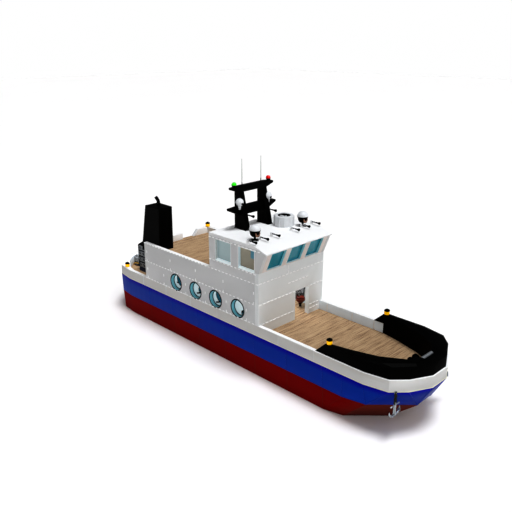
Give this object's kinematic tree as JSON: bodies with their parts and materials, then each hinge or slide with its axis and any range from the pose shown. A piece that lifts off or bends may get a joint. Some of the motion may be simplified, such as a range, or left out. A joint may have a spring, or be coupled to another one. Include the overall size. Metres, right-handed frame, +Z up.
{
  "type": "trawler yacht with a flat-bottomed workboat hull",
  "caption": "Steel trawler yacht with a faceted blue and red hull, black bow bulwark, long deckhouse with round ports, raised wheelhouse, twin-leg mast and square funnel.",
  "frame": {"origin": "on the flat bottom of the hull, under the middle of its length and beam", "axes": "+X towards the bow, +Y to port, +Z up"},
  "size_m": [26.3, 5.75, 12.4],
  "materials": {
    "hull_red": "satin bottom paint",
    "hull_blue": "glossy topside paint",
    "white_paint": "glossy marine paint with plate seams",
    "black_paint": "matt black deck paint",
    "navy_paint": "satin machinery paint",
    "grey_paint": "satin machinery paint",
    "deck_planks": "oiled planks laid across the ship",
    "galvanised_steel": "hot-dip galvanised",
    "bronze": "cast and polished bronze",
    "window_glass": "clear tinted pane",
    "port_glass": "teal tinted pane in a black rim",
    "seat_leather": "smooth hide with a grey shell",
    "amber_lens": "moulded amber lens with a black cap",
    "green_lens": "moulded green lens",
    "red_lens": "moulded red lens"
  },
  "bodies": {
    "ship": {"hull_bottom": "hull_red", "hull_topsides": "hull_blue", "main_deck": "deck_planks", "upper_deck": "deck_planks", "main_bulwark": "white_paint", "deckhouse_side_starboard": "white_paint", "deckhouse_side_port": "white_paint", "deckhouse_aft_wall": "white_paint", "front_wall": "white_paint", "upper_bulwark_starboard": "white_paint", "upper_bulwark_port": "white_paint", "wheelhouse_side_starboard": "white_paint", "wheelhouse_side_port": "white_paint", "wheelhouse_aft_wall": "white_paint", "windscreen_frame": "white_paint", "roof": "white_paint", "radar_drum": "white_paint", "bow_bulwark": "black_paint", "mast": "black_paint", "funnel": "black_paint", "vent_stack": "black_paint", "windlass_stand": "black_paint", "aft_winch_stand": "navy_paint", "helm_console": "grey_paint", "anchor_starboard": "galvanised_steel", "anchor_port": "galvanised_steel", "windscreen_glass": "window_glass", "side_window_starboard_aft": "window_glass", "side_window_starboard_fore": "window_glass", "side_window_port_aft": "window_glass", "side_window_port_fore": "window_glass", "porthole_starboard_1": "port_glass", "porthole_starboard_2": "port_glass", "porthole_starboard_3": "port_glass", "porthole_starboard_4": "port_glass", "porthole_port_1": "port_glass", "porthole_port_2": "port_glass", "porthole_port_3": "port_glass", "porthole_port_4": "port_glass", "helm_seat": "seat_leather", "beacon_bow_starboard": "amber_lens", "beacon_bow_port": "amber_lens", "beacon_stern_starboard": "amber_lens", "beacon_stern_port": "amber_lens", "beacon_upper_port": "amber_lens", "sidelight_starboard": "green_lens", "sidelight_port": "red_lens"},
    "aft_door_body": {"aft_door": "white_paint"},
    "aft_winch_drum_body": {"aft_winch_drum": "grey_paint"},
    "bow_roller_body": {"bow_roller": "galvanised_steel"},
    "front_door_body": {"front_door": "white_paint"},
    "helm_wheel_body": {"helm_wheel": "black_paint"},
    "propeller_body": {"propeller": "bronze"},
    "radar_scanner_body": {"radar_scanner": "white_paint"},
    "rudder_body": {"rudder": "bronze"},
    "searchlight_port_body": {"searchlight_port": "white_paint"},
    "searchlight_starboard_body": {"searchlight_starboard": "white_paint"},
    "wheelhouse_door_body": {"wheelhouse_door": "white_paint"},
    "windlass_drum_body": {"windlass_drum": "grey_paint"}
  },
  "joints": [
    {"name": "propeller_spin", "type": "hinge", "parent": "ship", "child": "propeller_body", "pos_m": [-11.6, 0, 0.64], "axis": [1, 0, 0], "continuous": true},
    {"name": "rudder_turn", "type": "hinge", "parent": "ship", "child": "rudder_body", "pos_m": [-12.3, 0, 1.25], "axis": [0, 0, 1], "range_deg": [-35, 35]},
    {"name": "starboard_searchlight_pan", "type": "hinge", "parent": "ship", "child": "searchlight_starboard_body", "pos_m": [2, -2.07, 8.26], "axis": [0, 0, 1], "range_deg": [-170, 170]},
    {"name": "port_searchlight_pan", "type": "hinge", "parent": "ship", "child": "searchlight_port_body", "pos_m": [2, 2.07, 8.26], "axis": [0, 0, 1], "range_deg": [-170, 170]},
    {"name": "radar_scanner_spin", "type": "hinge", "parent": "ship", "child": "radar_scanner_body", "pos_m": [1.05, 1.4, 8.5], "axis": [0, 0, 1], "continuous": true},
    {"name": "bow_roller_spin", "type": "hinge", "parent": "ship", "child": "bow_roller_body", "pos_m": [12.3, 0, 3.9], "axis": [0, 1, 0], "continuous": true},
    {"name": "windlass_drum_spin", "type": "hinge", "parent": "ship", "child": "windlass_drum_body", "pos_m": [11.6, 0, 3.39], "axis": [0, 1, 0], "continuous": true},
    {"name": "aft_winch_drum_spin", "type": "hinge", "parent": "ship", "child": "aft_winch_drum_body", "pos_m": [-11.95, 0, 3.29], "axis": [0, 1, 0], "continuous": true},
    {"name": "helm_wheel_turn", "type": "hinge", "parent": "ship", "child": "helm_wheel_body", "pos_m": [2.36, 1.5, 3.94], "axis": [1, 0, 0], "range_deg": [-540, 540]},
    {"name": "front_door_slide", "type": "slide", "parent": "ship", "child": "front_door_body", "axis": [0, 1, 0], "range_m": [0, 1.37]},
    {"name": "aft_door_swing", "type": "hinge", "parent": "ship", "child": "aft_door_body", "pos_m": [-7.982, -1.28, 3.81], "axis": [0, 0, 1], "range_deg": [0, 100]},
    {"name": "wheelhouse_door_swing", "type": "hinge", "parent": "ship", "child": "wheelhouse_door_body", "pos_m": [-1.122, -0.405, 6.55], "axis": [0, 0, 1], "range_deg": [0, 100]}
  ]
}
